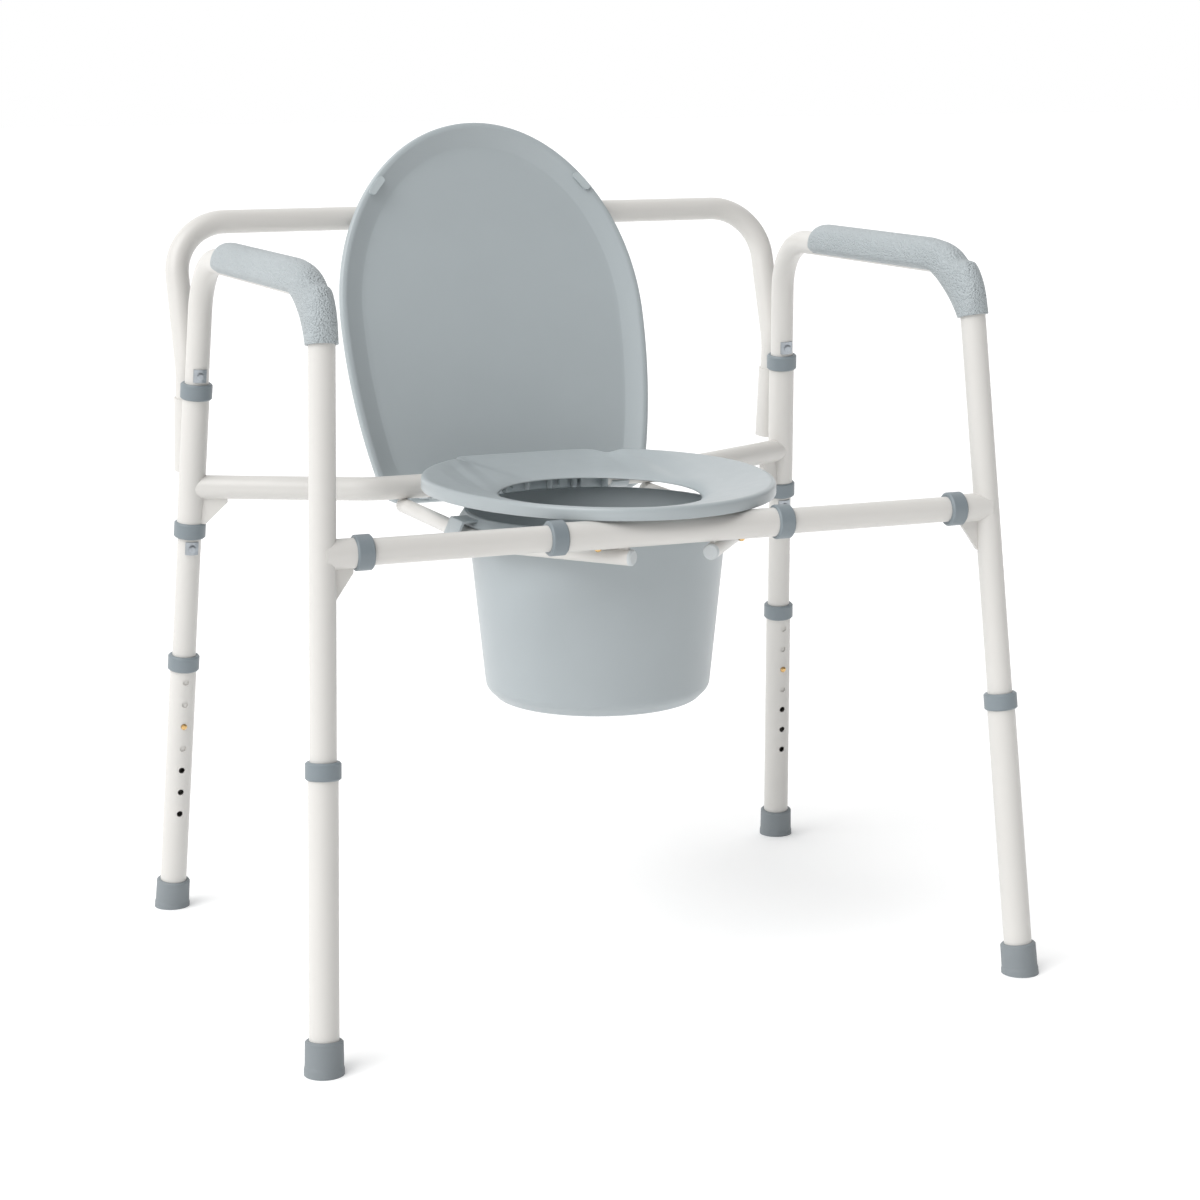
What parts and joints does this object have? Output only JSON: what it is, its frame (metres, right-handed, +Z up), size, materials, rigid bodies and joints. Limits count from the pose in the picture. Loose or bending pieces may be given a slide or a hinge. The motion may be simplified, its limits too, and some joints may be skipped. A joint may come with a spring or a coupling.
{
  "type": "commode chair",
  "caption": "Extra-wide steel commode chair with arm pads, telescopic legs, hinged seat and lid, back bar and a lift-out pail on rails.",
  "frame": {"origin": "on the floor, in the middle of the chair's footprint box", "axes": "+X across the chair to the sitter's left, -Y towards the front, +Z up"},
  "size_m": [0.7884, 0.6227, 0.8589],
  "materials": {
    "frame_paint": "satin powder coat, warm off-white",
    "pad_plastic": "pebble-grained moulded grey",
    "bush_plastic": "satin moulded grey",
    "spring_steel": "bright spring steel",
    "zinc": "zinc plated",
    "foot_rubber": "matt grey rubber",
    "button_brass": "plain brass",
    "seat_plastic": "semi-gloss moulded blue-grey",
    "lid_plastic": "semi-gloss moulded blue-grey",
    "bumper_rubber": "soft grey rubber",
    "pail_plastic": "semi-gloss moulded blue-grey",
    "cap_plastic": "satin moulded pale grey"
  },
  "bodies": {
    "frame": {"side_frame_left": "frame_paint", "side_frame_right": "frame_paint", "arm_pad_left": "pad_plastic", "arm_pad_right": "pad_plastic", "front_stub_left": "frame_paint", "front_stub_right": "frame_paint", "front_gussets": "frame_paint", "crossbar_tube_left": "frame_paint", "crossbar_tube_right": "frame_paint", "crossbar_centre_tube": "frame_paint", "crossbar_bushes": "bush_plastic", "crossbar_springs": "spring_steel", "rear_sleeve_left": "frame_paint", "rear_sleeve_right": "frame_paint", "sleeve_bushes": "bush_plastic", "stop_plates": "zinc", "stop_rivets": "zinc", "rear_crossbar": "frame_paint", "rear_gussets": "frame_paint", "back_bar_socket_left": "frame_paint", "back_bar_socket_right": "frame_paint", "pail_rail_left": "frame_paint", "pail_rail_right": "frame_paint", "rail_caps": "cap_plastic", "rail_gussets": "frame_paint", "leg_springs": "spring_steel", "back_bar": "frame_paint"},
    "seat": {"seat": "seat_plastic", "seat_clips": "seat_plastic"},
    "lid": {"lid": "lid_plastic", "lid_clips": "lid_plastic", "lid_bumpers": "bumper_rubber"},
    "pail": {"pail": "pail_plastic"},
    "crossbar_button_left": {"crossbar_button_left": "button_brass"},
    "crossbar_button_right": {"crossbar_button_right": "button_brass"},
    "leg_front_left": {"leg_front_left": "frame_paint", "leg_bush_front_left": "bush_plastic", "foot_front_left": "foot_rubber"},
    "leg_button_front_left": {"leg_button_front_left": "button_brass"},
    "leg_front_right": {"leg_front_right": "frame_paint", "leg_bush_front_right": "bush_plastic", "foot_front_right": "foot_rubber"},
    "leg_button_front_right": {"leg_button_front_right": "button_brass"},
    "leg_rear_left": {"leg_rear_left": "frame_paint", "leg_bush_rear_left": "bush_plastic", "foot_rear_left": "foot_rubber"},
    "leg_button_rear_left": {"leg_button_rear_left": "button_brass"},
    "leg_rear_right": {"leg_rear_right": "frame_paint", "leg_bush_rear_right": "bush_plastic", "foot_rear_right": "foot_rubber"},
    "leg_button_rear_right": {"leg_button_rear_right": "button_brass"}
  },
  "joints": [
    {"name": "lid_hinge", "type": "hinge", "parent": "frame", "child": "lid", "pos_m": [0, 0.137, 0.479], "axis": [-1, 0, 0], "range_deg": [-108, 0]},
    {"name": "seat_hinge", "type": "hinge", "parent": "frame", "child": "seat", "pos_m": [0, 0.137, 0.479], "axis": [-1, 0, 0], "range_deg": [0, 98]},
    {"name": "pail_lift", "type": "slide", "parent": "frame", "child": "pail", "axis": [0, 0, 1], "range_m": [0, 0.012]},
    {"name": "leg_front_left_slide", "type": "slide", "parent": "frame", "child": "leg_front_left", "axis": [-0.0496, -0.1004, -0.9937], "range_m": [-0.1016, 0.0508]},
    {"name": "leg_button_front_left_press", "type": "slide", "parent": "frame", "child": "leg_button_front_left", "axis": [0.005, -0.995, 0.1002], "range_m": [0, 0.0045], "stiffness_N_per_m": 1500, "springref_m": -0.002},
    {"name": "leg_front_right_slide", "type": "slide", "parent": "frame", "child": "leg_front_right", "axis": [0.0496, -0.1004, -0.9937], "range_m": [-0.1016, 0.0508]},
    {"name": "leg_button_front_right_press", "type": "slide", "parent": "frame", "child": "leg_button_front_right", "axis": [-0.005, -0.995, 0.1002], "range_m": [0, 0.0045], "stiffness_N_per_m": 1500, "springref_m": -0.002},
    {"name": "leg_rear_left_slide", "type": "slide", "parent": "frame", "child": "leg_rear_left", "axis": [-0.0496, 0.1083, -0.9929], "range_m": [-0.1016, 0.0508]},
    {"name": "leg_button_rear_left_press", "type": "slide", "parent": "frame", "child": "leg_button_rear_left", "axis": [0.0054, 0.9941, 0.1082], "range_m": [0, 0.0045], "stiffness_N_per_m": 1500, "springref_m": -0.002},
    {"name": "leg_rear_right_slide", "type": "slide", "parent": "frame", "child": "leg_rear_right", "axis": [0.0496, 0.1083, -0.9929], "range_m": [-0.1016, 0.0508]},
    {"name": "leg_button_rear_right_press", "type": "slide", "parent": "frame", "child": "leg_button_rear_right", "axis": [-0.0054, 0.9941, 0.1082], "range_m": [0, 0.0045], "stiffness_N_per_m": 1500, "springref_m": -0.002},
    {"name": "crossbar_button_left_press", "type": "slide", "parent": "frame", "child": "crossbar_button_left", "axis": [0, 0, 1], "range_m": [0, 0.0045], "stiffness_N_per_m": 1500, "springref_m": -0.002},
    {"name": "crossbar_button_right_press", "type": "slide", "parent": "frame", "child": "crossbar_button_right", "axis": [0, 0, 1], "range_m": [0, 0.0045], "stiffness_N_per_m": 1500, "springref_m": -0.002}
  ]
}
